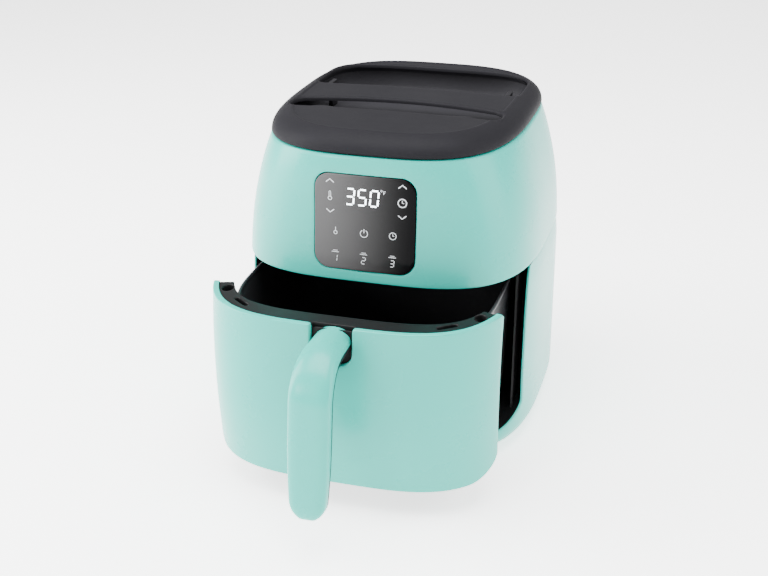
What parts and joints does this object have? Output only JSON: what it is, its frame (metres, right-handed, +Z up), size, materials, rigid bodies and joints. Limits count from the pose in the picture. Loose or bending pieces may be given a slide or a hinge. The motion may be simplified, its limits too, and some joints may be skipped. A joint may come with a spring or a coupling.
{
  "type": "basket air fryer",
  "caption": "Countertop hot-air fryer with a rounded aqua housing, dark carry-bar lid, glossy touch lens and a pull-out drawer with handle, bucket and crisper tray.",
  "frame": {"origin": "centre of the bounding box at rest, on the surface that the feet stand on", "axes": "+Z up, the drawer opens towards -Y, +X to the right when facing the front"},
  "size_m": [0.223, 0.3711, 0.2484],
  "materials": {
    "aqua_plastic": "satin pale aqua",
    "slate_plastic": "fine matt slate",
    "black_plastic": "matt black",
    "nonstick": "black non-stick coat",
    "steel": "plain sheet",
    "heater_sheath": "dark oxidised sheath",
    "circuit_board": "green solder mask",
    "light_module": "pale housing",
    "transformer_wrap": "yellow tape",
    "capacitor_sleeve": "blue sleeve",
    "lens_black": "gloss black lens",
    "rubber": "soft black"
  },
  "bodies": {
    "housing": {"base_shell": "aqua_plastic", "upper_shell": "aqua_plastic", "control_lens": "lens_black", "display_board": "circuit_board", "digit_module": "light_module", "top_cover": "slate_plastic", "recess_tray": "slate_plastic", "chamber_deck": "steel", "cavity_liner": "black_plastic", "base_plate": "slate_plastic", "foot_1": "rubber", "foot_2": "rubber", "foot_3": "rubber", "foot_4": "rubber", "base_screw_1": "steel", "base_screw_2": "steel", "base_screw_3": "steel", "base_screw_4": "steel", "rear_grille": "slate_plastic", "cord_inlet": "black_plastic", "heater_dish": "steel", "heating_coil": "heater_sheath", "motor_plate": "steel", "fan_motor": "steel", "heater_guard": "steel", "power_board": "circuit_board", "transformer": "transformer_wrap", "relay": "black_plastic", "filter_capacitor": "capacitor_sleeve", "thermal_cutoff": "steel", "drawer_switch": "black_plastic", "runner_left": "black_plastic", "runner_right": "black_plastic"},
    "drawer": {"drawer_front": "aqua_plastic", "drawer_backing": "black_plastic", "drawer_frame": "black_plastic", "bucket": "nonstick", "handle_shell": "aqua_plastic", "handle_back": "black_plastic", "handle_bracket": "black_plastic", "handle_screw_1": "steel", "handle_screw_2": "steel"},
    "crisper": {"crisper_tray": "nonstick", "tray_foot_1": "rubber", "tray_foot_2": "rubber", "tray_foot_3": "rubber", "tray_foot_4": "rubber"},
    "fan_rotor": {"motor_shaft": "steel", "hot_air_fan": "steel", "cooling_fan": "steel"},
    "switch_arm": {"switch_lever": "black_plastic"}
  },
  "joints": [
    {"name": "drawer_slide", "type": "slide", "parent": "housing", "child": "drawer", "axis": [0, -1, 0], "range_m": [-0.0722, 0.115]},
    {"name": "tray_lift", "type": "slide", "parent": "drawer", "child": "crisper", "axis": [0, 0, 1], "range_m": [0, 0.08]},
    {"name": "fan_spin", "type": "hinge", "parent": "housing", "child": "fan_rotor", "pos_m": [0, 0.0714, 0.19], "axis": [0, 0, 1], "continuous": true},
    {"name": "switch_swing", "type": "hinge", "parent": "housing", "child": "switch_arm", "pos_m": [0, 0.1442, 0.145], "axis": [1, 0, 0], "range_deg": [0, 10], "stiffness_Nm_per_rad": 0.02}
  ]
}
